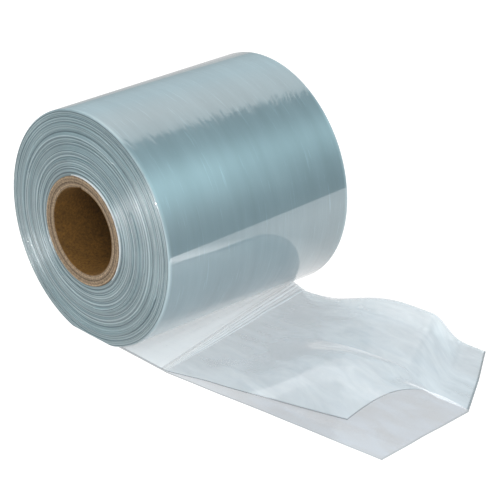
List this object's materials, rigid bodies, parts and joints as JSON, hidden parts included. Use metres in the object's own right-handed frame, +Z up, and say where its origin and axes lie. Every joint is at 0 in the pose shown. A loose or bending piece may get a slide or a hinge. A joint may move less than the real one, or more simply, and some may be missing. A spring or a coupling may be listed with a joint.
{
  "type": "roll of shrink film",
  "caption": "Roll of clear centre-folded shrink film on a paper core, with a drawn-out free end whose two plies open into a mouth.",
  "frame": {"origin": "on the surface that the roll lies on, under the middle of the film's width and the roll's axis", "axes": "+X along the roll's axis towards the folded side of the film, -Y the way the free end runs out, +Z up"},
  "size_m": [0.2256, 0.4259, 0.205],
  "materials": {
    "core_paper": "spirally wound kraft paper, matt, plies showing on the cut ends",
    "film": "clear glossy film that looks pale blue-grey where it is wound up"
  },
  "bodies": {
    "root": {"core": "core_paper", "film_turns": "film", "film_free_end": "film"}
  },
  "joints": []
}
